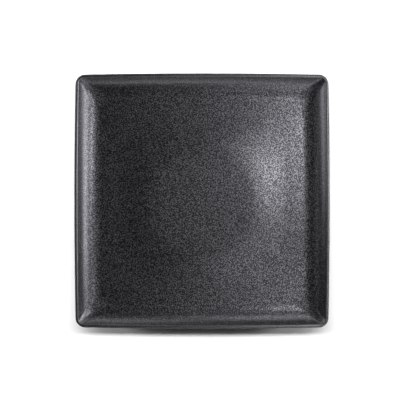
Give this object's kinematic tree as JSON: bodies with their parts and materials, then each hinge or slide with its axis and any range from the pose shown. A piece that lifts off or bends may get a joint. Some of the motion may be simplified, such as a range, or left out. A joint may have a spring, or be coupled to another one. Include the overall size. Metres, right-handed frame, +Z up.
{
  "type": "square dinner plate",
  "caption": "Square matt black stoneware dinner plate with gently bowed sides, soft mitred corners, a curved wall, a rounded lip and a wiped foot.",
  "frame": {"origin": "centre of the plate at the level of the table that its foot stands on", "axes": "+Z up out of the well; +X and +Y square to the sides"},
  "size_m": [0.26, 0.26, 0.0209],
  "materials": {
    "fired_clay": "bare fired stoneware, matt and slightly rough",
    "matt_face_glaze": "matt black glaze with a fine pebbled grain, smooth on the lip",
    "satin_back_glaze": "smooth satin black glaze"
  },
  "bodies": {
    "root": {"stoneware_body": "fired_clay", "face_glaze": "matt_face_glaze", "back_glaze": "satin_back_glaze", "channel_glaze": "satin_back_glaze", "centre_glaze": "satin_back_glaze"}
  },
  "joints": []
}
